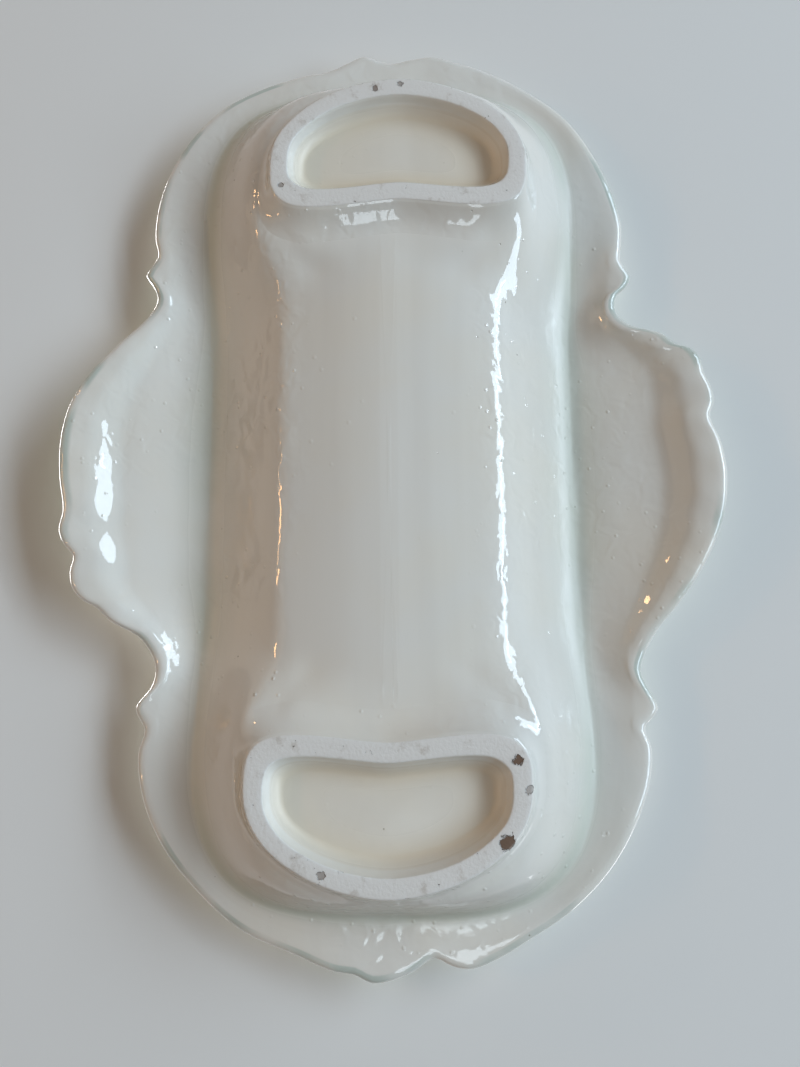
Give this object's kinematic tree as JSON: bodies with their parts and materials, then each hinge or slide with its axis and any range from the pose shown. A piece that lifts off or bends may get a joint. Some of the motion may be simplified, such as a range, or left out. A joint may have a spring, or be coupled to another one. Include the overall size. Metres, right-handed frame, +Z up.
{
  "type": "asparagus plate",
  "caption": "Oval asparagus plate with a deep trough, flat end flanges, domed shell-edged side lobes, kidney-shaped foot rings and moulded spears.",
  "frame": {"origin": "middle of the dish's footprint, on the surface that its foot rings stand on", "axes": "+X along the trough towards end A, +Y across towards side lobe A, +Z up out of the trough"},
  "size_m": [0.36, 0.25, 0.0385],
  "materials": {
    "cream_glaze": "glossy cream glaze with fine ripples",
    "rim_glaze": "glossy cream glaze, greenish where it pooled",
    "foot_glaze": "glazed sides, matte standing face wiped bare",
    "spear_glaze": "glossy soft green and cream glaze"
  },
  "bodies": {
    "root": {"trough": "cream_glaze", "end_rim_a": "rim_glaze", "end_rim_b": "rim_glaze", "side_lobe_a": "rim_glaze", "side_lobe_b": "rim_glaze", "foot_ring_a": "foot_glaze", "foot_ring_b": "foot_glaze", "asparagus_spear_1": "spear_glaze", "asparagus_spear_2": "spear_glaze", "asparagus_spear_3": "spear_glaze", "asparagus_spear_4": "spear_glaze", "asparagus_spear_5": "spear_glaze", "asparagus_spear_6": "spear_glaze"}
  },
  "joints": []
}
